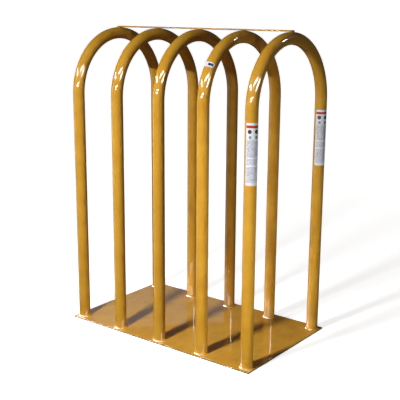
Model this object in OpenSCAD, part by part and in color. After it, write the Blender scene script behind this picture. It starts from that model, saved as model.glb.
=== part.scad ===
// Tyre inflation cage: five round-tube hoops welded on a flat steel plate, tied by a rod along their crowns.
// A wheel stands on the plate inside the hoops while its tyre is filled.
// Millimetres. X runs along the row of hoops, Y across the cage from front to back, and Z up.
// The origin is the middle of the plate's underside. Hoop 1 is at -X, hoop 5 at +X, and the front is -Y.

/* [Cage] */
// Length of the base plate, along the row of hoops
cage_length = 990; // [800:10:1300]
// Width of the base plate, across the cage
cage_width = 600; // [480:10:760]
// Height of the hoops' crowns above the floor
hoop_height = 1330; // [1050:10:1700]

/* [Base plate] */
// Thickness of the base plate
plate_thickness = 6; // [4:0.5:12]
// Plate left clear beyond the foot welds at each end
end_land = 3.6; // [1:0.1:30]
// Plate left clear beyond the foot welds along each side
side_land = 6.1; // [1:0.1:30]

/* [Hoops] */
// Outside diameter of the hoops' tube
tube_diameter = 50.8; // [38:0.1:64]
// Wall of the hoops' tube
tube_wall = 4.8; // [2.5:0.1:8]

/* [Tie rod] */
// Diameter of the rod along the crowns
rod_diameter = 6.4; // [5:0.1:12]
// Rod past the middle of hoop 1's tube
rod_overhang_left = 4; // [2:1:30]
// Rod past the middle of hoop 5's tube
rod_overhang_right = 15; // [2:1:30]

/* [Welds] */
// Leg length of the fillet weld round each foot
foot_weld_leg = 6; // [3:0.2:9]
// Half length of each weld bead beside the rod
rod_weld_reach = 9; // [7:0.5:12]
// Radius of each weld bead beside the rod, at its middle
rod_weld_radius = 3.5; // [2.5:0.25:4.5]
// Depth of each bead's own axis inside the rod's surface
rod_weld_bite = 0.4; // [0.2:0.1:1]

/* [Labels] */
// Height of the two labels on the legs of hoop 5
label_height = 240; // [100:5:260]
// Width of every label, measured round the tube
label_width = 62; // [30:1:76]
// From the label's top edge up to where the tube starts to bend
label_drop = 40; // [10:1:80]
// Way the leg labels face, turned from +X towards the front
label_facing = 35; // [0:1:90]
// Length of the small label on hoop 4, measured along the tube
small_label_length = 22; // [15:1:40]
// Place of the small label on the front bend, in degrees above the start of the bend
small_label_angle = 35; // [12:1:60]
// Thickness of the labels' film
label_film = 0.3; // [0.2:0.05:0.5]

/* [Hidden] */
HOOPS = [1:5];
SIDES = ["front", "back"];
$fn = 96;

hoop_count = 5;
labelled_hoop = 5;
small_labelled_hoop = 4;
tube_r = tube_diameter / 2;
bore_r = tube_r - tube_wall;
rod_r = rod_diameter / 2;
foot_r = tube_r + foot_weld_leg;
hoop_pitch = (cage_length - 2 * (foot_r + end_land)) / (hoop_count - 1);
leg_y = cage_width / 2 - foot_r - side_land;
bend_r = leg_y;
bend_z = hoop_height - tube_r - bend_r;
leg_length = bend_z - plate_thickness;
cut = 1;

paint = [0.85, 0.60, 0.18];
weld_paint = [0.80, 0.54, 0.15];
film_white = [0.86, 0.87, 0.92];

function hoop_x(i) = (i - (hoop_count + 1) / 2) * hoop_pitch;
function side_y(side) = side == "front" ? -leg_y : leg_y;
function arc_degrees(arc_length, radius) = arc_length / radius * 180 / PI;

// Flat plate that the hoops stand on
module base_plate() {
    color(paint)
        translate([-cage_length / 2, -cage_width / 2, 0])
            cube([cage_length, cage_width, plate_thickness]);
}

// The solid of one bent bar of radius r: two legs from the plate up, joined by a half-circle bend
module bent_bar(r, extra = 0) {
    for (y = [-leg_y, leg_y])
        translate([0, y, plate_thickness - extra])
            cylinder(r = r, h = leg_length + extra);
    translate([0, 0, bend_z])
        rotate([90, 0, 90])
            rotate_extrude(angle = 180)
                translate([bend_r, 0])
                    circle(r = r);
}

// One hoop of hollow tube, its two cut ends standing flat on the plate
module hoop(i) {
    color(paint)
        translate([hoop_x(i), 0, 0])
            difference() {
                bent_bar(tube_r);
                bent_bar(bore_r, cut);
            }
}

// Fillet weld round one foot: a ring with a slightly rounded face between the tube and the plate
module foot_weld(i, side) {
    hollow = foot_weld_leg * 0.8;
    face_r = norm([foot_weld_leg + hollow, hollow]);
    color(weld_paint)
        translate([hoop_x(i), side_y(side), plate_thickness])
            rotate_extrude()
                translate([tube_r, 0])
                    intersection() {
                        square(foot_weld_leg);
                        translate([-hollow, -hollow])
                            circle(r = face_r);
                    }
}

// Rod resting on the crowns of all the hoops
module tie_rod() {
    color(paint)
        translate([hoop_x(1) - rod_overhang_left, 0, hoop_height + rod_r])
            rotate([0, 90, 0])
                cylinder(
                    r = rod_r,
                    h = hoop_x(hoop_count) - hoop_x(1) + rod_overhang_left + rod_overhang_right
                );
}

// A bead with pointed ends, lying along X
module bead(reach, radius) {
    sweep_r = (reach * reach + radius * radius) / (2 * radius);
    rotate([0, 90, 0])
        rotate_extrude()
            intersection() {
                translate([radius - sweep_r, 0])
                    circle(r = sweep_r);
                translate([0, -reach])
                    square([radius, 2 * reach]);
            }
}

// Two beads that fill the corners between the rod and one crown, each with its ends run out on the rod
module tie_rod_weld(i) {
    axis_r = rod_r - rod_weld_bite;
    color(weld_paint)
        translate([hoop_x(i), 0, hoop_height])
            difference() {
                for (side = [-1, 1])
                    translate([0, side * axis_r * sin(45), rod_r - axis_r * cos(45)])
                        bead(rod_weld_reach, rod_weld_radius);
                translate([-2 * rod_weld_reach, 0, rod_r])
                    rotate([0, 90, 0])
                        cylinder(r = rod_r, h = 4 * rod_weld_reach);
                translate([0, 2 * rod_diameter, -tube_r])
                    rotate([90, 0, 0])
                        cylinder(r = tube_r, h = 4 * rod_diameter);
                cube([4 * rod_weld_reach, rod_r, rod_diameter], center = true);
            }
}

// Printed film wrapped round one leg of hoop 5
module leg_label(side) {
    wrap = arc_degrees(label_width, tube_r);
    color(film_white)
        translate([hoop_x(labelled_hoop), side_y(side), bend_z - label_drop - label_height])
            rotate([0, 0, -label_facing - wrap / 2])
                rotate_extrude(angle = wrap)
                    translate([tube_r, 0])
                        square([label_film, label_height]);
}

// Section of a film wrapped round the outer face of a bend, as a band of a ring
module film_section(wrap) {
    reach = 2 * tube_r;
    intersection() {
        difference() {
            circle(r = tube_r + label_film);
            circle(r = tube_r);
        }
        polygon([
            [0, 0],
            [reach * cos(wrap / 2), -reach * sin(wrap / 2)],
            [reach, -reach * sin(wrap / 2)],
            [reach, reach * sin(wrap / 2)],
            [reach * cos(wrap / 2), reach * sin(wrap / 2)]
        ]);
    }
}

// Small printed film on the front bend of hoop 4
module small_label() {
    wrap = arc_degrees(label_width, tube_r);
    span = arc_degrees(small_label_length, bend_r + tube_r);
    color(film_white)
        translate([hoop_x(small_labelled_hoop), 0, bend_z])
            rotate([90, 0, 90])
                rotate([0, 0, 180 - small_label_angle - span / 2])
                    rotate_extrude(angle = span)
                        translate([bend_r, 0])
                            film_section(wrap);
}

base_plate();
for (i = HOOPS) {
    hoop(i);
    for (side = SIDES)
        foot_weld(i, side);
    tie_rod_weld(i);
}
tie_rod();
leg_label("front");  // leg_label_front
leg_label("back");  // leg_label_back
small_label();
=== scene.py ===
# %% [markdown]
# # A tyre inflation cage
#
# A truck tyre can burst while it is filled, so it is filled inside a cage. This one is five bent tubes
# welded on a flat steel plate, with a thin rod along their crowns. The sizes come from the engineering
# model, which loads first and stays where it is. This script gives each piece a clean mesh and a real
# finish: glossy yellow enamel, rippled welds and printed vinyl.

import math

import bmesh
import bpy
from mathutils import Matrix, Vector, noise


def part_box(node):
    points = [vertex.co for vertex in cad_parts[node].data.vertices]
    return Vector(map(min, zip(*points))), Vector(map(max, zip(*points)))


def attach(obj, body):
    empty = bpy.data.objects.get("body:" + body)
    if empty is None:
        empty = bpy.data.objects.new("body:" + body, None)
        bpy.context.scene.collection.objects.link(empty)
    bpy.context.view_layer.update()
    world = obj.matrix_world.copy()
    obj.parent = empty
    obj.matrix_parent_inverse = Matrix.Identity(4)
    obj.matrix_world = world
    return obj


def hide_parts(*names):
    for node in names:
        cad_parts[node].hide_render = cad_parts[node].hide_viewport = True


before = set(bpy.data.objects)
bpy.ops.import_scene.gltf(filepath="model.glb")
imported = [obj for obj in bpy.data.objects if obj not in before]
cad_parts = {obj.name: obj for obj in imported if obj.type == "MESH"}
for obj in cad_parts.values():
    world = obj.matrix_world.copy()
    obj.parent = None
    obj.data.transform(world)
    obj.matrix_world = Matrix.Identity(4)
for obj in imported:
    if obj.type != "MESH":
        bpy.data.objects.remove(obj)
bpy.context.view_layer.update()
MM = 0.001

# %% [markdown]
# ## Sizes from the model
#
# Nothing is placed by eye. The box of each engineering node says where its piece is: a hoop's box is as
# wide as its tube, and its top is the crown. From those few numbers the legs, the bend and the rod all
# follow.

# %% Read the sizes of the cage
HOOPS = range(1, 6)
plate_low, plate_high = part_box("base_plate")
plate_top = plate_high.z
hoop_boxes = {i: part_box(f"hoop_{i}") for i in HOOPS}
hoop_x = {i: (low.x + high.x) / 2 for i, (low, high) in hoop_boxes.items()}
tube_r = (hoop_boxes[1][1].x - hoop_boxes[1][0].x) / 2
crown_z = hoop_boxes[1][1].z
leg_y = hoop_boxes[1][1].y - tube_r
bend_r = leg_y
bend_z = crown_z - tube_r - bend_r
rod_low, rod_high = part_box("tie_rod")
rod_r = (rod_high.z - rod_low.z) / 2
rod_z = (rod_high.z + rod_low.z) / 2
print(f"tube {2 * tube_r / MM:.1f} mm, legs {2 * leg_y / MM:.0f} mm apart, bends from {bend_z / MM:.0f} mm")
print("hoops at x =", [round(x / MM) for x in hoop_x.values()], "mm; rod", round(2 * rod_r / MM, 1), "mm")

# %% [markdown]
# ## Helpers for materials
#
# A colour is easiest to pick as the sRGB hex value that a paint chart gives, but a shader wants linear
# light, so one function turns the first into the second. A second function adds a node: its settings come
# as names, and its inputs as a table of numbers and links.

# %% Helpers for colours and nodes
def colour(hex_code):
    """Linear red, green, blue and alpha of an sRGB hex colour such as D9992E."""
    parts = [int(hex_code[i:i + 2], 16) / 255 for i in (0, 2, 4)]
    return [c / 12.92 if c <= 0.04045 else ((c + 0.055) / 1.055) ** 2.4 for c in parts] + [1.0]


def add_node(tree, kind, inputs=None, **settings):
    """Add a node. Each input is given a number, or joined to another node's output."""
    node = tree.nodes.new(kind)
    for name, value in settings.items():
        setattr(node, name, value)
    for key, value in (inputs or {}).items():
        if isinstance(value, bpy.types.NodeSocket):
            tree.links.new(value, node.inputs[key])
        else:
            node.inputs[key].default_value = value
    return node


def new_material(name):
    """A material with an empty Principled surface, and that surface's node."""
    material = bpy.data.materials.new(name)
    material.use_nodes = True
    return material, material.node_tree.nodes["Principled BSDF"]


def per_metre(size_mm):
    """Scale of a noise whose grains are this many millimetres across."""
    return 1 / (size_mm * MM)


ENAMEL_THIN, ENAMEL_FULL = "D69A2B", "E2AA38"
print("full enamel yellow in linear light:", [round(c, 3) for c in colour(ENAMEL_FULL)[:3]])

# %% [markdown]
# ## Yellow enamel
#
# The whole cage is sprayed with one coat of alkyd machinery enamel. Sprayed enamel levels into a gloss
# skin (IOR about 1.6) but keeps a faint orange peel, waves two or three millimetres across that soften
# the edges of a reflection. Its colour shifts a little where the coat is thin. The clear skin is the
# shader's coat, so the coloured layer under it needs only a weak sheen of its own. The patterns read
# Object coordinates, which are metres, so each one keeps its real size wherever it lies.

# %% Yellow enamel
CLOUD_MM = 90
HAZE_MM = 25


def enamel_skin(name, peel_mm=2.6, peel_height_mm=0.012):
    """Glossy yellow enamel: mottled colour, uneven gloss, orange peel. Returns what wear builds on."""
    material, surface = new_material(name)
    tree = material.node_tree
    where = add_node(tree, "ShaderNodeTexCoord").outputs["Object"]
    cloud = add_node(tree, "ShaderNodeTexNoise", {
        "Vector": where, "Scale": per_metre(CLOUD_MM), "Detail": 3.0})
    coat = add_node(tree, "ShaderNodeValToRGB", {"Fac": cloud.outputs["Fac"]})
    thin, full = coat.color_ramp.elements
    thin.position = 0.3
    thin.color = colour(ENAMEL_THIN)
    full.position = 0.7
    full.color = colour(ENAMEL_FULL)
    haze = add_node(tree, "ShaderNodeTexNoise", {
        "Vector": where, "Scale": per_metre(HAZE_MM), "Detail": 5.0})
    gloss = add_node(tree, "ShaderNodeMapRange", {
        "Value": haze.outputs["Fac"], "To Min": 0.26, "To Max": 0.42})
    peel = add_node(tree, "ShaderNodeTexNoise", {
        "Vector": where, "Scale": per_metre(peel_mm), "Detail": 1.0})
    skin = add_node(tree, "ShaderNodeBump", {
        "Height": peel.outputs["Fac"], "Distance": peel_height_mm * MM, "Strength": 1.0})
    surface.inputs["IOR"].default_value = 1.5
    surface.inputs["Specular IOR Level"].default_value = 0.06
    surface.inputs["Coat Weight"].default_value = 1.0
    surface.inputs["Coat Roughness"].default_value = 0.04
    surface.inputs["Coat IOR"].default_value = 1.6
    tree.links.new(coat.outputs["Color"], surface.inputs["Base Color"])
    tree.links.new(gloss.outputs["Result"], surface.inputs["Roughness"])
    tree.links.new(skin.outputs["Normal"], surface.inputs["Normal"])
    return material, tree, surface, where


print("clouds have noise scale", round(per_metre(CLOUD_MM), 1), "and haze", round(per_metre(HAZE_MM), 1))

# %% [markdown]
# ## How wear is laid on
#
# Wear is a mask: 1 where the finish is marked and 0 where it is clean. Masks come from stretched noise and
# from places on the piece. Where several have to agree, they are multiplied.

# %% Helpers for wear
def lay_over(tree, surface, share, tint, roughness):
    """Cover a finish with another tint and roughness where share is 1, and leave it where share is 0."""
    for key, kind, under, over, out, value in (("Base Color", "RGBA", 6, 7, 2, colour(tint)),
                                               ("Roughness", "FLOAT", 2, 3, 0, roughness)):
        below = surface.inputs[key].links[0].from_socket
        both = add_node(tree, "ShaderNodeMix", {0: share, under: below, over: value}, data_type=kind)
        tree.links.new(both.outputs[out], surface.inputs[key])


def blotches(tree, where, size_mm, start, full, stretch=(1, 1, 1), most=1.0):
    """Patches of wear. The noise shows where it passes start, and is at its most where it passes full."""
    spread = add_node(tree, "ShaderNodeVectorMath", {0: where, 1: stretch}, operation="MULTIPLY").outputs[0]
    grain = add_node(tree, "ShaderNodeTexNoise", {
        "Vector": spread, "Scale": per_metre(size_mm), "Detail": 6.0})
    return add_node(tree, "ShaderNodeMapRange", {
        "Value": grain.outputs["Fac"], "From Min": start, "From Max": full, "To Max": most}).outputs[0]


def where_all(tree, first, *others):
    """The place where all of these masks agree."""
    agreed = first
    for mask in others:
        agreed = add_node(tree, "ShaderNodeMath", {0: agreed, 1: mask}, operation="MULTIPLY").outputs[0]
    return agreed


print("wear is laid over", ["Base Color", "Roughness"])

# %% [markdown]
# ## Wear on the tubes
#
# Tyres lean on the inner sides of the legs and smear them with black rubber, and workshop dirt creeps up
# from the feet. Small nicks show the duller paint underneath.

# %% Worn tubes
RUBBER_FADE = 0.25
FOOT_DIRT_HEIGHT = 0.09


def tube_finish():
    """Enamel with rubber on the inner sides of the legs, dirt by the feet and nicks all over."""
    material, tree, surface, where = enamel_skin("tube_enamel")
    place = add_node(tree, "ShaderNodeSeparateXYZ", {"Vector": where}).outputs
    sideways = add_node(tree, "ShaderNodeMath", {0: place["Y"]}, operation="ABSOLUTE").outputs[0]
    inner = add_node(tree, "ShaderNodeMapRange", {
        "Value": sideways, "From Min": leg_y - 0.95 * tube_r, "From Max": leg_y - 0.55 * tube_r,
        "To Min": 1.0, "To Max": 0.0}).outputs[0]
    low_down = add_node(tree, "ShaderNodeMapRange", {
        "Value": place["Z"], "From Min": bend_z - RUBBER_FADE, "From Max": bend_z,
        "To Min": 1.0, "To Max": 0.0}).outputs[0]
    smears = blotches(tree, where, 60, 0.5, 0.75, stretch=(1, 1, 0.25), most=0.42)
    lay_over(tree, surface, where_all(tree, inner, low_down, smears), "4B4335", 0.55)
    by_foot = add_node(tree, "ShaderNodeMapRange", {
        "Value": place["Z"], "From Min": plate_top, "From Max": plate_top + FOOT_DIRT_HEIGHT,
        "To Min": 1.0, "To Max": 0.0}).outputs[0]
    dirt = blotches(tree, where, 18, 0.4, 0.7, most=0.35)
    lay_over(tree, surface, where_all(tree, by_foot, dirt), "A06C2A", 0.5)
    nicks = blotches(tree, where, 5, 0.72, 0.75, most=0.7)
    lay_over(tree, surface, nicks, "8A5F24", 0.5)
    return material


tube_enamel = tube_finish()
print("tube enamel has", len(tube_enamel.node_tree.nodes), "nodes")

# %% [markdown]
# ## Wear on the plate
#
# Wheels rolled in from the front rub long dull streaks into the gloss. Along the sheared edges the paint
# chips down to brown primer, and the chips are sunk by the thickness of the paint. The lower half of the
# edges is painted nearly black as painted shade, the contact shadow where the plate meets the floor. Dust
# and chips take away the clear skin, so it is thinner there. Rolled sheet is never quite flat, so slow
# waves 110 mm long bend what the plate reflects.

# %% Worn plate
DUST_MOST = 0.2
RIM_BAND = (0.5 * MM, 5 * MM)
# Heights on the plate's edges that get painted contact shade.
CONTACT_SHADE_BAND = (2.6 * MM, 4.4 * MM)
PAINT_THICKNESS = 0.12 * MM
SHEET_WAVE_MM = 110
SHEET_WAVE_HEIGHT = 0.6 * MM


def near_plate_edge(tree, where):
    """1 at the outline of the plate, fading to 0 a few millimetres in."""
    middle = (plate_low + plate_high) / 2
    half = (plate_high - plate_low) / 2
    arm = add_node(tree, "ShaderNodeVectorMath", {0: where, 1: middle}, operation="SUBTRACT").outputs[0]
    span = add_node(tree, "ShaderNodeVectorMath", {0: arm}, operation="ABSOLUTE").outputs[0]
    inside = add_node(tree, "ShaderNodeVectorMath", {0: half, 1: span}, operation="SUBTRACT").outputs[0]
    gap = add_node(tree, "ShaderNodeSeparateXYZ", {"Vector": inside}).outputs
    nearest = add_node(tree, "ShaderNodeMath", {0: gap["X"], 1: gap["Y"]}, operation="MINIMUM").outputs[0]
    return add_node(tree, "ShaderNodeMapRange", {
        "Value": nearest, "From Min": RIM_BAND[0], "From Max": RIM_BAND[1],
        "To Min": 1.0, "To Max": 0.0}).outputs[0]


def plate_finish():
    """Enamel with dust, streaks, scuffs, chipped edges and painted shade on the lower half of its edges."""
    material, tree, surface, where = enamel_skin("plate_enamel", peel_mm=3.5, peel_height_mm=0.016)
    dust = blotches(tree, where, 70, 0.4, 0.75, most=DUST_MOST)
    lay_over(tree, surface, dust, "B79A62", 0.55)
    streaks = blotches(tree, where, 22, 0.52, 0.75, stretch=(1, 0.3, 1), most=0.3)
    lay_over(tree, surface, streaks, "AC8238", 0.5)
    scratches = blotches(tree, where, 9, 0.56, 0.66, stretch=(0.5, 1, 1), most=0.3)
    busy_places = blotches(tree, where, 160, 0.45, 0.6)
    lay_over(tree, surface, where_all(tree, scratches, busy_places), "7D6A45", 0.6)
    chips = where_all(tree, near_plate_edge(tree, where), blotches(tree, where, 7, 0.56, 0.6))
    lay_over(tree, surface, chips, "5E3F25", 0.7)
    height = add_node(tree, "ShaderNodeSeparateXYZ", {"Vector": where}).outputs["Z"]
    # Painted shade: the lower half of the plate's edges is darkened nearly black, as the floor's contact
    # shadow.
    painted_contact_shade = add_node(tree, "ShaderNodeMapRange", {
        "Value": height, "From Min": CONTACT_SHADE_BAND[0], "From Max": CONTACT_SHADE_BAND[1],
        "To Min": 0.92, "To Max": 0.0}).outputs[0]
    lay_over(tree, surface, painted_contact_shade, "3A2B16", 0.65)
    skin = surface.inputs["Normal"].links[0].from_node
    sunk = add_node(tree, "ShaderNodeBump", {
        "Height": chips, "Normal": skin.outputs["Normal"], "Distance": PAINT_THICKNESS,
        "Strength": 1.0}, invert=True)
    waves = add_node(tree, "ShaderNodeTexNoise", {
        "Vector": where, "Scale": per_metre(SHEET_WAVE_MM), "Detail": 1.0})
    rolled = add_node(tree, "ShaderNodeBump", {
        "Height": waves.outputs["Fac"], "Normal": sunk.outputs["Normal"], "Distance": SHEET_WAVE_HEIGHT,
        "Strength": 1.0})
    tree.links.new(rolled.outputs["Normal"], surface.inputs["Normal"])
    whole = add_node(tree, "ShaderNodeMapRange", {"Value": chips, "To Min": 1.0, "To Max": 0.0}).outputs[0]
    clean = add_node(tree, "ShaderNodeMapRange", {
        "Value": dust, "From Max": DUST_MOST, "To Min": 1.0, "To Max": 0.6}).outputs[0]
    tree.links.new(where_all(tree, whole, clean), surface.inputs["Coat Weight"])
    return material


plate_enamel = plate_finish()
print("plate enamel has", len(plate_enamel.node_tree.nodes), "nodes")

# %% [markdown]
# ## Wear on the welds and the rod
#
# Dirt lodges between the ripples of the welds. The rod is enamelled along its length, but its sawn ends are
# bare steel with the marks of the blade. The last 13 mm or so of its +X end, over the crown of hoop 5, is
# darkened nearly to black.

# %% Worn welds and rod
BARE_BAND = (0.45 * MM, 0.3 * MM)
DARK_END_BAND = (17 * MM, 13 * MM)
SAW_MARK_DEPTH = 0.06 * MM


def weld_finish():
    """Enamel with dirt between the ripples."""
    material, tree, surface, where = enamel_skin("weld_enamel", peel_mm=1.4, peel_height_mm=0.008)
    lay_over(tree, surface, blotches(tree, where, 4, 0.5, 0.72, most=0.7), "8E6222", 0.5)
    return material


def rod_finish():
    """Enamel along the bar, bare saw-marked steel on its ends and a darker band by its +X end."""
    material, tree, surface, where = enamel_skin("rod_enamel", peel_mm=1.8)
    along = add_node(tree, "ShaderNodeSeparateXYZ", {"Vector": where}).outputs["X"]
    middle = (rod_low.x + rod_high.x) / 2
    half = (rod_high.x - rod_low.x) / 2
    arm = add_node(tree, "ShaderNodeMath", {0: along, 1: middle}, operation="SUBTRACT").outputs[0]
    reach = add_node(tree, "ShaderNodeMath", {0: arm}, operation="ABSOLUTE").outputs[0]
    ends = add_node(tree, "ShaderNodeMapRange", {
        "Value": reach, "From Min": half - BARE_BAND[0], "From Max": half - BARE_BAND[1]}).outputs[0]
    lay_over(tree, surface, blotches(tree, where, 6, 0.6, 0.7, most=0.5), "8E6222", 0.5)
    lay_over(tree, surface, ends, "6A645B", 0.45)
    # Darkened nearly to black over the last 13 to 17 mm of the rod's +X end.
    dark_end = add_node(tree, "ShaderNodeMapRange", {
        "Value": along, "From Min": rod_high.x - DARK_END_BAND[0], "From Max": rod_high.x - DARK_END_BAND[1],
        "To Max": 0.9}).outputs[0]
    lay_over(tree, surface, dark_end, "2A211A", 0.6)
    tree.links.new(ends, surface.inputs["Metallic"])
    saw = add_node(tree, "ShaderNodeTexWave", {"Vector": where, "Scale": per_metre(9), "Distortion": 0.6},
                   bands_direction="Z")
    skin = surface.inputs["Normal"].links[0].from_node
    cut = add_node(tree, "ShaderNodeBump", {
        "Height": where_all(tree, saw.outputs["Fac"], ends), "Normal": skin.outputs["Normal"],
        "Distance": SAW_MARK_DEPTH, "Strength": 1.0})
    tree.links.new(cut.outputs["Normal"], surface.inputs["Normal"])
    return material


weld_enamel = weld_finish()
rod_enamel = rod_finish()
print("weld enamel has", len(weld_enamel.node_tree.nodes), "nodes, rod", len(rod_enamel.node_tree.nodes))

# %% [markdown]
# ## From a bmesh to a finished piece
#
# Every new piece ends the same way: its normals point outwards, its faces shade smoothly except across
# sharp corners, it gets its finish, and the engineering nodes it stands for are hidden.

# %% Finish a piece
def finish_piece(bm, name, finish, slot, *nodes, sharp_degrees=35):
    """Turn a bmesh into a piece of the cage that stands for the given engineering nodes."""
    for face in bm.faces:
        face.smooth = True
    for edge in bm.edges:
        if len(edge.link_faces) == 2 and edge.calc_face_angle(0) > math.radians(sharp_degrees):
            edge.smooth = False
    mesh = bpy.data.meshes.new(name)
    bm.to_mesh(mesh)
    bm.free()
    piece = bpy.data.objects.new(name, mesh)
    bpy.context.scene.collection.objects.link(piece)
    mesh.materials.append(finish)
    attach(piece, "root")
    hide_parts(*nodes)
    return piece


# %% [markdown]
# ## The base plate
#
# The plate is 6 mm hot-rolled sheet, cut on a guillotine. A guillotine rolls the top edge over slightly,
# and paint rounds it further, so a plain box would look too sharp: its edges never catch the light. A box
# with its corners rounded by 2 mm and its rims by just under 1 mm has that soft line.

# %% Base plate
CORNER_ROUND = 2 * MM
RIM_ROUND = 0.8 * MM


def make_base_plate():
    size = plate_high - plate_low
    bm = bmesh.new()
    bmesh.ops.create_cube(bm, size=1.0)
    bmesh.ops.scale(bm, vec=size, verts=bm.verts)
    bmesh.ops.translate(bm, vec=(plate_low + plate_high) / 2, verts=bm.verts)
    corners = [e for e in bm.edges if abs(e.verts[0].co.z - e.verts[1].co.z) > size.z / 2]
    bmesh.ops.bevel(bm, geom=corners, offset=CORNER_ROUND, offset_type="OFFSET", segments=4, profile=0.5,
                    affect="EDGES", material=-1)
    rims = [e for e in bm.edges if abs(e.verts[0].co.z - e.verts[1].co.z) < size.z / 2]
    bmesh.ops.bevel(bm, geom=rims, offset=RIM_ROUND, offset_type="OFFSET", segments=3, profile=0.5,
                    affect="EDGES", material=-1)
    plate = finish_piece(bm, "steel_plate", plate_enamel, "yellow_enamel", "base_plate")
    plate.modifiers.new("even_normals", "WEIGHTED_NORMAL").keep_sharp = True
    return plate


steel_plate = make_base_plate()
print("plate:", len(steel_plate.data.polygons), "faces")

# %% [markdown]
# ## The hoops
#
# Each hoop is one length of tube, bent cold round a former. It is made the way the bender makes it: a
# ring is drawn up the front leg, spun half a turn about the middle of the bend, and drawn down the back
# leg. The wall is given last, on the open shell, so the tube is truly hollow with a flat cut end on the
# plate.

# %% Hoops
RING_SIDES = 72
BEND_STEPS = 96
TUBE_WALL = 4.8 * MM


def draw_ring(bm, edges, way):
    """Extrude a ring of edges and move the new ring. Returns its edges."""
    grown = bmesh.ops.extrude_edge_only(bm, edges=edges)["geom"]
    verts = [g for g in grown if isinstance(g, bmesh.types.BMVert)]
    bmesh.ops.translate(bm, vec=way, verts=verts)
    return [g for g in grown if isinstance(g, bmesh.types.BMEdge) and all(v in verts for v in g.verts)]


def make_hoop(i):
    bm = bmesh.new()
    foot = Matrix.Translation((hoop_x[i], -leg_y, plate_top))
    bmesh.ops.create_circle(bm, cap_ends=False, segments=RING_SIDES, radius=tube_r, matrix=foot)
    ring = draw_ring(bm, list(bm.edges), (0, 0, bend_z - plate_top))
    ring_verts = list({v for e in ring for v in e.verts})
    bent = bmesh.ops.spin(bm, geom=ring_verts + ring, cent=(hoop_x[i], 0, bend_z), axis=(-1, 0, 0),
                          angle=math.pi, steps=BEND_STEPS, use_merge=False)
    last = [g for g in bent["geom_last"] if isinstance(g, bmesh.types.BMEdge)]
    draw_ring(bm, last, (0, 0, plate_top - bend_z))
    bmesh.ops.remove_doubles(bm, verts=bm.verts, dist=0.01 * MM)
    bmesh.ops.recalc_face_normals(bm, faces=bm.faces)
    bmesh.ops.solidify(bm, geom=list(bm.faces), thickness=TUBE_WALL)
    return finish_piece(bm, f"hoop_tube_{i}", tube_enamel, "yellow_enamel", f"hoop_{i}")


hoop_tubes = [make_hoop(i) for i in HOOPS]
print("one hoop:", len(hoop_tubes[0].data.polygons), "faces, box",
      [round(c / MM, 1) for c in hoop_tubes[0].dimensions])

# %% [markdown]
# ## The foot welds
#
# Each leg is held by a fillet weld laid by hand right round it. The molten pool freezes in steps, which
# leaves crescents three millimetres apart, and the bead is never quite even: its edge wanders. A profile is
# spun into a smooth ring, and then its points are pushed out along the bead by a repeating crescent and a
# slow noise.

# %% Foot welds
WELD_STEPS = 480
FACE_POINTS = 9
WELD_SINK = 0.4 * MM
FACE_SWELL = 0.16
RIPPLE_PITCH = 3 * MM
RIPPLE_HEIGHT = 0.5 * MM
WANDER_HEIGHT = 0.5 * MM
WANDER_SCALE = 90


def crescent(turn, across, pitch_turn):
    """Height, 0 to 1, of the frozen ripple here. across is -1 at one edge of the bead, 1 at the other."""
    step = (turn / pitch_turn + 0.35 * across * across) % 1.0
    return math.sqrt(max(0.0, 1 - step)) * min(1.0, step / 0.25)


def ripple_weld(bm, middle, leg, seed):
    """Push the points of a smooth ring of weld out into ripples."""
    pitch_turn = RIPPLE_PITCH / (2 * math.pi * (tube_r + leg / 2))
    for v in bm.verts:
        arm = v.co - middle
        reach = math.hypot(arm.x, arm.y) - tube_r
        if reach < -WELD_SINK / 2 and arm.z < 0:
            continue
        turn = (math.atan2(arm.y, arm.x) / (2 * math.pi)) % 1.0
        across = (arm.z - reach) / leg
        outward = Vector((arm.x, arm.y, 0)).normalized() + Vector((0, 0, 1))
        wander = noise.noise(arm * WANDER_SCALE + seed) * WANDER_HEIGHT
        ripple = (crescent(turn, across, pitch_turn) - 0.5) * RIPPLE_HEIGHT * (1 - abs(across) ** 3)
        v.co += outward.normalized() * (wander + ripple)


def make_foot_weld(i, side):
    low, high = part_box(f"foot_weld_{side}_{i}")
    middle = Vector((hoop_x[i], (low.y + high.y) / 2, plate_top))
    leg = high.z - low.z
    bm = bmesh.new()
    root = bm.verts.new(middle + Vector((tube_r - WELD_SINK, 0, -WELD_SINK)))
    loop = [root]
    for k in range(FACE_POINTS):
        share = k / (FACE_POINTS - 1)
        swell = FACE_SWELL * leg * math.sin(math.pi * share)
        out = Vector(((1 - share) * leg + swell, 0, share * leg + swell))
        sunk = Vector((tube_r - WELD_SINK * share, 0, -WELD_SINK * (1 - share)))
        loop.append(bm.verts.new(middle + out + sunk))
    edges = [bm.edges.new((a, b)) for a, b in zip(loop, loop[1:] + loop[:1])]
    bmesh.ops.spin(bm, geom=loop + edges, cent=middle, axis=(0, 0, 1), angle=2 * math.pi,
                   steps=WELD_STEPS, use_merge=True)
    seed = Vector((i * 7.3, leg_y if side == "front" else 3.1, 0))
    ripple_weld(bm, middle, leg, seed)
    bmesh.ops.recalc_face_normals(bm, faces=bm.faces)
    name = f"foot_weld_bead_{side}_{i}"
    return finish_piece(bm, name, weld_enamel, "weld_enamel", f"foot_weld_{side}_{i}", sharp_degrees=75)


foot_welds = [make_foot_weld(i, side) for i in HOOPS for side in ("front", "back")]
print("foot weld:", len(foot_welds[0].data.polygons), "faces, box",
      [round(c / MM, 1) for c in foot_welds[0].dimensions])

# %% [markdown]
# ## The tie rod and its welds
#
# The rod is plain round bar, sawn at both ends. A short bead on each side holds it to every crown. The
# rod is a cylinder with its sawn rims eased, and a bead is a stretched ball with ripples across it.

# %% Tie rod
ROD_RIM_ROUND = 0.5 * MM
BEAD_GIRTH = 3.3 * MM
BEAD_PITCH = 2.2 * MM
BEAD_RIPPLE = 0.12
BEAD_WANDER = 0.15


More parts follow.
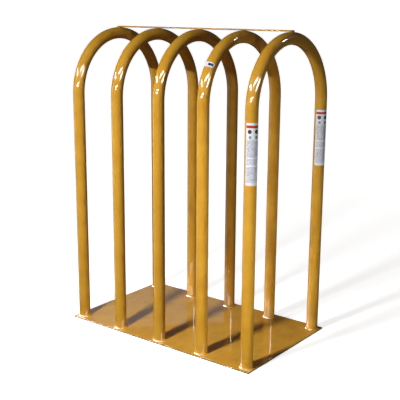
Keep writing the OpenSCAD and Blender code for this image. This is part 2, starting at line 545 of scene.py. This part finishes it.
def make_tie_rod():
    bm = bmesh.new()
    middle = Matrix.Translation(((rod_low.x + rod_high.x) / 2, 0, rod_z))
    lie_down = middle @ Matrix.Rotation(math.pi / 2, 4, "Y")
    bmesh.ops.create_cone(bm, cap_ends=True, segments=40, radius1=rod_r, radius2=rod_r,
                          depth=rod_high.x - rod_low.x, matrix=lie_down)
    rims = [e for e in bm.edges if abs(e.verts[0].co.x - e.verts[1].co.x) < MM]
    bmesh.ops.bevel(bm, geom=rims, offset=ROD_RIM_ROUND, offset_type="OFFSET", segments=3, profile=0.5,
                    affect="EDGES", material=-1)
    return finish_piece(bm, "crown_rod", rod_enamel, "yellow_enamel", "tie_rod")


def make_rod_weld(i):
    low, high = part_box(f"tie_rod_weld_{i}")
    bm = bmesh.new()
    reach = (high.x - low.x) / 2
    for side in (-1, 1):
        middle = Vector((hoop_x[i], side * (high.y - BEAD_GIRTH), low.z + BEAD_GIRTH))
        place = Matrix.Translation(middle) @ Matrix.Diagonal((reach, BEAD_GIRTH, BEAD_GIRTH, 1))
        place = place @ Matrix.Rotation(math.pi / 2, 4, "Y")
        ball = bmesh.ops.create_uvsphere(bm, u_segments=24, v_segments=56, radius=1.0, matrix=place)
        for v in ball["verts"]:
            arm = v.co - middle
            bead = Vector((0, arm.y, arm.z))
            ripple = math.sin(arm.x / BEAD_PITCH * 2 * math.pi + side) * BEAD_RIPPLE
            v.co += bead * (ripple + BEAD_WANDER * noise.noise(v.co * 200))
    bmesh.ops.recalc_face_normals(bm, faces=bm.faces)
    name = f"rod_weld_bead_{i}"
    return finish_piece(bm, name, weld_enamel, "weld_enamel", f"tie_rod_weld_{i}", sharp_degrees=75)


crown_rod = make_tie_rod()
rod_welds = [make_rod_weld(i) for i in HOOPS]
print("rod:", [round(c / MM, 1) for c in crown_rod.dimensions], "mm")

# %% [markdown]
# ## Printed vinyl film
#
# The labels are screen-printed vinyl with a clear top coat. The print here is plain: coloured blocks,
# round spots and rows of grey strokes that stand for small print without spelling anything. The pattern
# is drawn from the film's own flat coordinates in millimetres, kept in a UV map, so it wraps round the
# tube exactly as the film does. Thumb marks dull the top coat in patches, and the film keeps the faint
# ripple of its roll.

# %% Vinyl print
FILM_WIDTH = 62 * MM
INK_ROUGHNESS = 0.3
SIDE_SOFT, TOP_SOFT = 0.3, 0.2


def window(tree, value, low, high, soft):
    """1 between two places and 0 outside, with an edge this soft."""
    rise = add_node(tree, "ShaderNodeMapRange", {
        "Value": value, "From Min": low - soft, "From Max": low + soft}).outputs[0]
    fall = add_node(tree, "ShaderNodeMapRange", {
        "Value": value, "From Min": high - soft, "From Max": high + soft,
        "To Min": 1.0, "To Max": 0.0}).outputs[0]
    return where_all(tree, rise, fall)


def print_strokes(tree, across, down, pitch):
    """Rows of strokes, one row each pitch millimetres, broken up along the row like words."""
    line = add_node(tree, "ShaderNodeMath", {0: down, 1: pitch}, operation="DIVIDE").outputs[0]
    part = add_node(tree, "ShaderNodeMath", {0: line}, operation="FRACT").outputs[0]
    number = add_node(tree, "ShaderNodeMath", {0: line}, operation="FLOOR").outputs[0]
    spot = add_node(tree, "ShaderNodeCombineXYZ", {"X": across, "Y": number}).outputs[0]
    strokes = add_node(tree, "ShaderNodeTexNoise", {"Vector": spot, "Scale": 0.55, "Detail": 2.0})
    words = add_node(tree, "ShaderNodeMapRange", {
        "Value": strokes.outputs["Fac"], "From Min": 0.4, "From Max": 0.5}).outputs[0]
    return where_all(tree, window(tree, part, 0.25, 0.8, 0.06), words)


def film_print(name, blocks, spots=(), rows=()):
    """White vinyl with coloured blocks, round spots and rows of grey strokes, all in millimetres."""
    material, surface = new_material(name)
    tree = material.node_tree
    film_mm = add_node(tree, "ShaderNodeUVMap").outputs["UV"]
    flat = add_node(tree, "ShaderNodeSeparateXYZ", {"Vector": film_mm})
    across, down = flat.outputs["X"], flat.outputs["Y"]
    where = add_node(tree, "ShaderNodeTexCoord").outputs["Object"]
    cloud = add_node(tree, "ShaderNodeTexNoise", {"Vector": where, "Scale": per_metre(30), "Detail": 4.0})
    paper = add_node(tree, "ShaderNodeValToRGB", {"Fac": cloud.outputs["Fac"]})
    paper.color_ramp.elements[0].color = colour("EDF0F7")
    paper.color_ramp.elements[1].color = colour("F8FAFD")
    top_coat = add_node(tree, "ShaderNodeMapRange", {
        "Value": cloud.outputs["Fac"], "To Min": 0.2, "To Max": 0.36})
    tree.links.new(paper.outputs["Color"], surface.inputs["Base Color"])
    tree.links.new(top_coat.outputs["Result"], surface.inputs["Roughness"])
    for top, bottom, left, right, ink in blocks:
        tall = window(tree, down, top, bottom, TOP_SOFT)
        wide = window(tree, across, left, right, SIDE_SOFT)
        lay_over(tree, surface, where_all(tree, tall, wide), ink, INK_ROUGHNESS)
    for x, y, r, ink in spots:
        here = add_node(tree, "ShaderNodeCombineXYZ", {"X": across, "Y": down}).outputs[0]
        away = add_node(tree, "ShaderNodeVectorMath", {0: here, 1: (x, y, 0)}, operation="DISTANCE")
        disc = window(tree, away.outputs["Value"], -1.0, r, SIDE_SOFT)
        lay_over(tree, surface, disc, ink, INK_ROUGHNESS)
    for top, bottom, left, right, pitch, ink in rows:
        wide = window(tree, across, left, right, SIDE_SOFT)
        tall = window(tree, down, top, bottom, TOP_SOFT)
        strokes = print_strokes(tree, across, down, pitch)
        lay_over(tree, surface, where_all(tree, wide, tall, strokes), ink, INK_ROUGHNESS)
    lay_over(tree, surface, blotches(tree, where, 16, 0.58, 0.8, most=0.3), "B5AA93", 0.45)
    ripple = add_node(tree, "ShaderNodeTexNoise", {"Vector": where, "Scale": per_metre(11), "Detail": 1.0})
    film = add_node(tree, "ShaderNodeBump", {
        "Height": ripple.outputs["Fac"], "Distance": 0.05 * MM, "Strength": 1.0})
    tree.links.new(film.outputs["Normal"], surface.inputs["Normal"])
    surface.inputs["IOR"].default_value = 1.52
    return material


leg_print = film_print(
    "printed_vinyl_tall",
    blocks=[(9, 19, 1, 61, "C63A1A"), (62, 66, 5, 34, "C9D8CC")],
    spots=[(15, 33, 8, "2C4048"), (43, 33, 8, "27323E"), (17, 54, 6, "8B93A8"), (43, 54, 6, "757E95")],
    rows=[(68, 130, 4, 58, 4.2, "8289A8"),
          (136, 160, 4, 58, 4.2, "8F96B2"),
          (166, 228, 4, 58, 4.6, "8F96B2")])
small_print = film_print("printed_vinyl_small", blocks=[(5.5, 16, 34, 56, "1B2C47")])
print("label prints use", len(leg_print.node_tree.nodes), "and", len(small_print.node_tree.nodes), "nodes")

# %% [markdown]
# ## Wrapping the films
#
# A film starts as a flat grid with its corners rounded, and its flat coordinates are stored before it is
# wrapped. On a leg it wraps round a cylinder. On the bend it wraps round a ring, so its length follows the
# outside of the curve.

# %% Labels
SMALL_FILM_HEIGHT = 22 * MM
FILM_THICKNESS = 0.25 * MM
CORNER_R = 3 * MM
LEG_LABEL_FACING = math.radians(-35)
SMALL_LABEL_UP_BEND = math.radians(35)


def flat_film(width, height, columns, rows):
    """A flat grid with rounded corners, and its own coordinates in millimetres from the top left."""
    bm = bmesh.new()
    bmesh.ops.create_grid(bm, x_segments=columns, y_segments=rows, size=0.5)
    bmesh.ops.scale(bm, vec=(width, height, 1), verts=bm.verts)
    for v in bm.verts:
        over = Vector((abs(v.co.x) - (width / 2 - CORNER_R), abs(v.co.y) - (height / 2 - CORNER_R)))
        if over.x > 0 and over.y > 0:
            rounded = over * (max(over) / over.length)
            v.co.x = math.copysign(width / 2 - CORNER_R + rounded.x, v.co.x)
            v.co.y = math.copysign(height / 2 - CORNER_R + rounded.y, v.co.y)
    layer = bm.loops.layers.uv.new("film_mm")
    for face in bm.faces:
        for corner in face.loops:
            flat = corner.vert.co
            corner[layer].uv = ((flat.x + width / 2) / MM, (height / 2 - flat.y) / MM)
    return bm


def finish_film(bm, name, finish, node):
    """Give a wrapped film its thickness and its print."""
    bmesh.ops.recalc_face_normals(bm, faces=bm.faces)
    film = finish_piece(bm, name, finish, "printed_film", node)
    wall = film.modifiers.new("film_wall", "SOLIDIFY")
    wall.thickness = FILM_THICKNESS
    wall.offset = 1.0
    return film


def make_leg_label(side):
    low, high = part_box(f"leg_label_{side}")
    middle_y = -leg_y if side == "front" else leg_y
    bm = flat_film(FILM_WIDTH, high.z - low.z, 60, 200)
    for v in bm.verts:
        angle = LEG_LABEL_FACING + v.co.x / tube_r
        height = (low.z + high.z) / 2 + v.co.y
        v.co = Vector((hoop_x[5] + tube_r * math.cos(angle), middle_y + tube_r * math.sin(angle), height))
    return finish_film(bm, f"leg_film_{side}", leg_print, f"leg_label_{side}")


def make_small_label():
    bm = flat_film(FILM_WIDTH, SMALL_FILM_HEIGHT, 60, 22)
    outer = bend_r + tube_r
    for v in bm.verts:
        round_tube = v.co.x / tube_r
        along = SMALL_LABEL_UP_BEND + v.co.y / outer
        reach = bend_r + tube_r * math.cos(round_tube)
        v.co = Vector((hoop_x[4] + tube_r * math.sin(round_tube),
                       -reach * math.cos(along),
                       bend_z + reach * math.sin(along)))
    return finish_film(bm, "bend_film", small_print, "small_label")


labels = [make_leg_label("front"), make_leg_label("back"), make_small_label()]
print("labels:", [label.name for label in labels])

# %% [markdown]
# ## Studio room
#
# The cage stands in the middle of a round white room, so every view has the same pale floor and wall. The
# room is only there for the camera: its paper glows softly and takes shadows, but it is kept out of the
# reflections and throws no light back, because a glossy tube in an all-white room looks like chalk. The
# paper glows a little less near the cage, so that the shadows there can still be seen.

# %% Room
ROOM_RADIUS = 9.0
ROOM_CORNER = ((0.75, 0), (0.93, 0.07), (1, 0.25))
WALL_HEIGHT = 0.8
PAPER_GLOW = 0.74
WALL_GLOW = 0.97
GLOW_FADE = (1.0, 4.0)


def paper_finish():
    """Matt white paper that glows more the further it is from the cage."""
    material, surface = new_material("matt_white_paper")
    surface.inputs["Base Color"].default_value = colour("E8E8E6")
    surface.inputs["Roughness"].default_value = 0.9
    surface.inputs["Emission Color"].default_value = colour("FFFFFF")
    tree = material.node_tree
    where = add_node(tree, "ShaderNodeTexCoord").outputs["Object"]
    away = add_node(tree, "ShaderNodeVectorMath", {0: where}, operation="LENGTH").outputs["Value"]
    glow = add_node(tree, "ShaderNodeMapRange", {
        "Value": away, "From Min": GLOW_FADE[0], "From Max": GLOW_FADE[1],
        "To Min": PAPER_GLOW, "To Max": WALL_GLOW})
    tree.links.new(glow.outputs["Result"], surface.inputs["Emission Strength"])
    return material


def make_room():
    """Spin the outline of a floor, a curved corner and a wall into a round room."""
    bm = bmesh.new()
    middle = bm.verts.new((0, 0, 0))
    corner = [bm.verts.new((ROOM_RADIUS * x, 0, ROOM_RADIUS * z)) for x, z in ROOM_CORNER]
    top = bm.verts.new((ROOM_RADIUS, 0, ROOM_RADIUS * WALL_HEIGHT))
    line = [middle] + corner + [top]
    edges = [bm.edges.new(pair) for pair in zip(line, line[1:])]
    bmesh.ops.spin(bm, geom=line + edges, cent=(0, 0, 0), axis=(0, 0, 1), angle=2 * math.pi, steps=64,
                   use_merge=True)
    bmesh.ops.remove_doubles(bm, verts=bm.verts, dist=MM)
    for face in bm.faces:
        face.smooth = True
    mesh = bpy.data.meshes.new("studio_room")
    bm.to_mesh(mesh)
    bm.free()
    room = bpy.data.objects.new("studio_room", mesh)
    bpy.context.scene.collection.objects.link(room)
    mesh.materials.append(paper_finish())
    room.visible_diffuse = False
    room.visible_glossy = False
    room.visible_shadow = False
    return room


studio_room = make_room()
print("room:", [round(c, 1) for c in studio_room.dimensions], "m")

# %% [markdown]
# ## Lamps
#
# A small key lamp hangs in front of the cage and faces straight down. An area lamp is brightest where it
# faces, so it lights the plate and the legs well, while the crowns, which it meets at a low slant, stay
# dim. It is kept out of the reflections. What the gloss shows comes from lamps made for gloss alone: long
# thin ones, like the tubes along a workshop wall, put hard glints on the shoulders of the hoops, and a
# large one stands for the wall on the left.

# %% Key lamp and glints
GLINT_RADIANCE = 60
REAR_GLINT_RADIANCE = 80
GLINT_DISTANCE = 6.0


def lamp(name, place, width, height, power, aim=(0, 0, 0.6)):
    """An area lamp at a place in metres, turned to the aim, and hidden from the camera."""
    data = bpy.data.lights.new(name, "AREA")
    data.shape = "RECTANGLE"
    data.size = width
    data.size_y = height
    data.energy = power
    light = bpy.data.objects.new(name, data)
    light.location = place
    light.rotation_euler = (Vector(place) - Vector(aim)).to_track_quat("Z", "Y").to_euler()
    light.visible_camera = False
    bpy.context.scene.collection.objects.link(light)
    return light


def glint_lamp(name, azimuth, elevation, width, height, radiance):
    """A lamp for gloss only, placed by its direction from the shoulders. Azimuth 90 is beyond hoop 5."""
    a, e = math.radians(azimuth), math.radians(elevation)
    shoulder = Vector((0, -leg_y, bend_z + 0.1))
    way = Vector((math.sin(a) * math.cos(e), -math.cos(a) * math.cos(e), math.sin(e)))
    place = shoulder + GLINT_DISTANCE * way
    light = lamp(name, place, width, height, radiance * math.pi * width * height, aim=shoulder)
    light.visible_diffuse = False
    return light


key = lamp("key_lamp", (0.05, -2.1, 2.0), 0.25, 0.25, 105, aim=(0.05, -2.1001, 0))
key.visible_glossy = False
for name, azimuth, elevation, width, height in (("glint_top", 40, 33, 4.0, 0.40),
                                                ("glint_left", -38, 25, 4.0, 0.36),
                                                ("glint_side", 84, 14, 3.0, 0.36),
                                                ("glint_front_high", 20, 12, 4.0, 0.14),
                                                ("glint_front_low", 8, 8, 3.2, 0.14)):
    glint_lamp(name, azimuth, elevation, width, height, GLINT_RADIANCE)
rear_glint = glint_lamp("glint_rear", 138, 20, 0.5, 0.35, REAR_GLINT_RADIANCE)
left_wall = lamp("left_wall", (-3.2, -1.4, 0.2), 1.6, 2.4, 16, aim=(0, -0.26, 0.5))
left_wall.visible_diffuse = False
print("lamps so far:", len(bpy.data.lights))

# %% [markdown]
# ## Lamps for certain pieces
#
# Some lamps light only some pieces, which Blender calls light linking. A soft fill from the right reaches
# the legs of the last two hoops, and a softbox behind lights the backs of the tubes. The flat plate
# mirrors what stands behind it, so it has a pale panel to reflect, which would leave a grey sheen on the
# tubes. Two bright lamps high on the left draw the glints on the foot welds and along the plate's front
# rim.

# %% Linked lamps
hoop_fill = lamp("right_fill", (2.2, -0.75, 0.45), 0.5, 0.7, 2.1, aim=(0.46, -0.26, 0.45))
hoop_fill.data.spread = math.radians(60)
hoop_fill.visible_glossy = False
rear_softbox = lamp("rear_softbox", (-2.2, 3.2, 0.9), 2.4, 1.6, 70)
rear_softbox.visible_glossy = False
backdrop_panel = lamp("backdrop_panel", (-2.97, 2.68, 0.85), 2.2, 1.6, 4.5, aim=(0, 0, 0.5))
weld_glint = lamp("weld_glint", (-2.4, -0.9, 1.7), 2.4, 0.9, 680, aim=(0, -0.26, 0))
rim_glint = lamp("rim_glint", (-1.9, -2.1, 1.7), 2.2, 0.5, 420, aim=(0, -0.3, 0))
for light in (weld_glint, rim_glint):
    light.visible_diffuse = False


def light_only(lights, name, things):
    """Let these lamps light only these things."""
    chosen = bpy.data.collections.new(name)
    for thing in things:
        chosen.objects.link(thing)
    for light in lights:
        light.light_linking.receiver_collection = chosen


plate_lamps = [backdrop_panel, weld_glint, rim_glint]
light_only(plate_lamps, "plate_and_welds", [steel_plate, studio_room] + foot_welds)
light_only([hoop_fill], "lit_from_the_right", hoop_tubes[3:] + labels[:2])
light_only([rear_softbox], "backs_of_the_tubes", hoop_tubes + labels + [crown_rod] + rod_welds)
light_only([rear_glint], "crowns_that_see_the_rear_lamp", hoop_tubes[3:])
print("lamps in all:", len(bpy.data.lights))

# %% [markdown]
# ## A flag and a dim ceiling
#
# In a studio, a black card that cuts off light is called a flag. This one hangs just behind the crowns of
# hoops 1 to 4, where it shades their far sides, and nothing but shadows sees it. Past the lamps the room is
# nearly dark, and the enamel reflects a faint warm grey.

# %% Flag and ceiling
FLAG_BEHIND_CROWNS = 0.06
FLAG_MARGIN_LEFT, FLAG_MARGIN_RIGHT = 0.15, 0.1
FLAG_ABOVE_BENDS, FLAG_ABOVE_CROWNS = 0.15, 0.06


def make_flag():
    """A black card just behind the crowns of hoops 1 to 4. Only shadows see it."""
    bm = bmesh.new()
    left, right = hoop_x[1] - FLAG_MARGIN_LEFT, hoop_x[4] + FLAG_MARGIN_RIGHT
    low, high = bend_z + FLAG_ABOVE_BENDS, crown_z + FLAG_ABOVE_CROWNS
    outline = ((left, low), (right, low), (right, high), (left, high))
    bm.faces.new([bm.verts.new((x, FLAG_BEHIND_CROWNS, z)) for x, z in outline])
    mesh = bpy.data.meshes.new("black_flag")
    bm.to_mesh(mesh)
    bm.free()
    flag = bpy.data.objects.new("black_flag", mesh)
    bpy.context.scene.collection.objects.link(flag)
    mesh.materials.append(new_material("matt_black_card")[0])
    for ray in ("camera", "diffuse", "glossy", "transmission", "volume_scatter"):
        setattr(flag, f"visible_{ray}", False)
    return flag


black_flag = make_flag()
world = bpy.data.worlds.new("dim_room")
bpy.context.scene.world = world
world.use_nodes = True
ceiling = world.node_tree.nodes["Background"].inputs
ceiling["Color"].default_value = colour("FFF0E2")
ceiling["Strength"].default_value = 0.04
print("flag:", [round(c / MM) for c in black_flag.dimensions], "mm")

# %% [markdown]
# ## Camera
#
# The camera stands to the right of the front, a little higher than the crowns, and looks slightly down
# through a moderately long lens. Its place is worked out from the direction it looks in.

# %% Camera
VIEW_AZIMUTH, VIEW_ELEVATION, VIEW_ROLL = 37.45, 13.48, 0.37
VIEW_DISTANCE = 3.602
VIEW_AIM = Vector((0.0109, 0.0079, 0.5838))
VIEW_LENS_MM = 72.6
SENSOR_WIDTH_MM = 36.0


def make_camera():
    a, e, roll = (math.radians(v) for v in (VIEW_AZIMUTH, VIEW_ELEVATION, VIEW_ROLL))
    back = Vector((math.sin(a) * math.cos(e), -math.cos(a) * math.cos(e), math.sin(e)))
    right = Vector((math.cos(a), math.sin(a), 0))
    up = back.cross(right)
    tilted_right = right * math.cos(roll) + up * math.sin(roll)
    tilted_up = up * math.cos(roll) - right * math.sin(roll)
    data = bpy.data.cameras.new("studio_camera")
    data.sensor_width = SENSOR_WIDTH_MM
    data.lens = VIEW_LENS_MM
    camera = bpy.data.objects.new("studio_camera", data)
    turn = Matrix((tilted_right, tilted_up, back)).transposed().to_4x4()
    camera.matrix_world = Matrix.Translation(VIEW_AIM + back * VIEW_DISTANCE) @ turn
    bpy.context.scene.collection.objects.link(camera)
    bpy.context.scene.camera = camera
    return camera


camera = make_camera()
bpy.context.scene.view_settings.view_transform = "Standard"
print("camera at", [round(c, 2) for c in camera.matrix_world.translation], "m")
